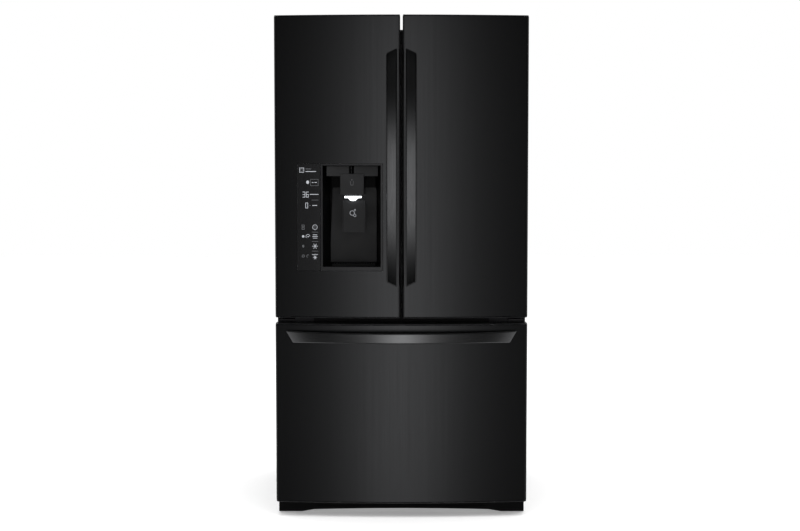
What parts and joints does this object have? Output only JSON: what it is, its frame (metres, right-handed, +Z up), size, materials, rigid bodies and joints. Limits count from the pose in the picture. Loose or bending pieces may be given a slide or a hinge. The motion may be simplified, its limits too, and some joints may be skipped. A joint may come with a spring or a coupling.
{
  "type": "french door refrigerator",
  "caption": "Tall black refrigerator with a pair of french doors, a water and ice dispenser in the left door, bow handles and a bottom freezer drawer.",
  "frame": {"origin": "floor level, under the middle of the whole refrigerator's box, handles included", "axes": "+Z up, the front with the doors faces -Y, +X is the viewer's right"},
  "size_m": [0.908, 0.907, 1.803],
  "materials": {
    "black_steel": "satin",
    "cabinet_paint": "satin",
    "galvanised": "satin",
    "black_gloss": "gloss",
    "black_plastic": "matte",
    "grey_plastic": "satin",
    "white_plastic": "satin",
    "clear_plastic": "gloss",
    "shelf_glass": "polished",
    "gasket_rubber": "matte",
    "foam": "matte",
    "zinc": "satin",
    "compressor_black": "satin",
    "door_foamed_liner": "satin",
    "lamp": "gloss"
  },
  "bodies": {
    "cabinet": {"cabinet_wrapper": "cabinet_paint", "face_frame": "cabinet_paint", "insulation_body": "foam", "fresh_food_liner": "white_plastic", "freezer_liner": "white_plastic", "rear_panel": "galvanised", "machine_cover": "black_plastic", "base_frame": "galvanised", "base_grille": "black_plastic", "compressor": "compressor_black", "drain_pan": "black_plastic", "condenser": "galvanised", "water_valve": "white_plastic", "evaporator_cover": "white_plastic", "left_top_hinge": "zinc", "right_top_hinge": "zinc", "left_hinge_cover": "black_plastic", "right_hinge_cover": "black_plastic", "left_middle_hinge": "zinc", "right_middle_hinge": "zinc", "left_glass_shelf": "shelf_glass", "right_glass_shelf": "shelf_glass", "crisper_frame": "clear_plastic", "left_outer_rail": "zinc", "right_outer_rail": "zinc"},
    "left_door": {"left_door_skin": "black_steel", "left_door_liner": "door_foamed_liner", "left_door_gasket": "gasket_rubber", "left_door_handle": "black_steel", "dispenser_bezel": "black_gloss", "dispenser_recess": "black_plastic", "dispenser_chute": "grey_plastic", "dispenser_lamp": "lamp", "drip_tray": "black_plastic", "left_door_bin": "clear_plastic"},
    "right_door": {"right_door_skin": "black_steel", "right_door_liner": "door_foamed_liner", "right_door_gasket": "gasket_rubber", "right_door_handle": "black_steel", "right_upper_bin": "clear_plastic", "right_lower_bin": "clear_plastic"},
    "freezer_drawer": {"drawer_skin": "black_steel", "drawer_liner": "door_foamed_liner", "drawer_gasket": "gasket_rubber", "drawer_handle": "black_steel", "freezer_basket": "white_plastic"},
    "freezer_tray": {"freezer_tray": "clear_plastic"},
    "left_middle_rail": {"left_middle_rail": "zinc"},
    "right_middle_rail": {"right_middle_rail": "zinc"},
    "ice_cover": {"ice_compartment_cover": "white_plastic"},
    "mullion_flap": {"mullion_flap": "black_plastic"},
    "paddle": {"dispenser_paddle": "grey_plastic"},
    "left_crisper": {"left_crisper": "clear_plastic"},
    "right_crisper": {"right_crisper": "clear_plastic"},
    "pantry_drawer": {"pantry_drawer": "clear_plastic"},
    "left_leg": {"left_levelling_leg": "zinc"},
    "right_leg": {"right_levelling_leg": "zinc"},
    "left_roller": {"left_rear_roller": "black_plastic"},
    "right_roller": {"right_rear_roller": "black_plastic"},
    "fan": {"condenser_fan": "black_plastic"}
  },
  "joints": [
    {"name": "left_door_swing", "type": "hinge", "parent": "cabinet", "child": "left_door", "pos_m": [-0.43, -0.3405, 0.7245], "axis": [0, 0, -1], "range_deg": [0, 110]},
    {"name": "right_door_swing", "type": "hinge", "parent": "cabinet", "child": "right_door", "pos_m": [0.43, -0.3405, 0.7245], "axis": [0, 0, 1], "range_deg": [0, 110]},
    {"name": "freezer_drawer_slide", "type": "slide", "parent": "cabinet", "child": "freezer_drawer", "axis": [0, -1, 0], "range_m": [0, 0.42]},
    {"name": "left_middle_rail_slide", "type": "slide", "parent": "cabinet", "child": "left_middle_rail", "axis": [0, -1, 0], "range_m": [0, 0.21]},
    {"name": "right_middle_rail_slide", "type": "slide", "parent": "cabinet", "child": "right_middle_rail", "axis": [0, -1, 0], "range_m": [0, 0.21]},
    {"name": "freezer_tray_slide", "type": "slide", "parent": "freezer_drawer", "child": "freezer_tray", "axis": [0, 1, 0], "range_m": [0, 0.18]},
    {"name": "ice_cover_swing", "type": "hinge", "parent": "left_door", "child": "ice_cover", "pos_m": [-0.398, -0.1682, 1.295], "axis": [0, 0, 1], "range_deg": [0, 90]},
    {"name": "mullion_flap_fold", "type": "hinge", "parent": "left_door", "child": "mullion_flap", "pos_m": [-0.034, -0.292, 0.785], "axis": [0, 0, 1], "range_deg": [-88, 0]},
    {"name": "paddle_press", "type": "hinge", "parent": "left_door", "child": "paddle", "pos_m": [-0.1705, -0.34091, 1.142], "axis": [1, 0, 0], "range_deg": [0, 12], "stiffness_Nm_per_rad": 0.6},
    {"name": "left_crisper_slide", "type": "slide", "parent": "cabinet", "child": "left_crisper", "axis": [0, -1, 0], "range_m": [0, 0.12]},
    {"name": "right_crisper_slide", "type": "slide", "parent": "cabinet", "child": "right_crisper", "axis": [0, -1, 0], "range_m": [0, 0.12]},
    {"name": "pantry_drawer_slide", "type": "slide", "parent": "cabinet", "child": "pantry_drawer", "axis": [0, -1, 0], "range_m": [0, 0.075]},
    {"name": "left_leg_turn", "type": "hinge", "parent": "cabinet", "child": "left_leg", "pos_m": [-0.405, -0.2535, 0], "axis": [0, 0, 1], "continuous": true},
    {"name": "right_leg_turn", "type": "hinge", "parent": "cabinet", "child": "right_leg", "pos_m": [0.405, -0.2535, 0], "axis": [0, 0, 1], "continuous": true},
    {"name": "left_roller_turn", "type": "hinge", "parent": "cabinet", "child": "left_roller", "pos_m": [-0.405, 0.3935, 0.02], "axis": [1, 0, 0], "continuous": true},
    {"name": "right_roller_turn", "type": "hinge", "parent": "cabinet", "child": "right_roller", "pos_m": [0.405, 0.3935, 0.02], "axis": [1, 0, 0], "continuous": true},
    {"name": "fan_turn", "type": "hinge", "parent": "cabinet", "child": "fan", "pos_m": [0.055, 0.3615, 0.186], "axis": [1, 0, 0], "continuous": true}
  ],
  "couplings": [
    {"joint": "left_middle_rail_slide", "follows": "freezer_drawer_slide", "ratio": 0.5},
    {"joint": "right_middle_rail_slide", "follows": "freezer_drawer_slide", "ratio": 0.5}
  ]
}
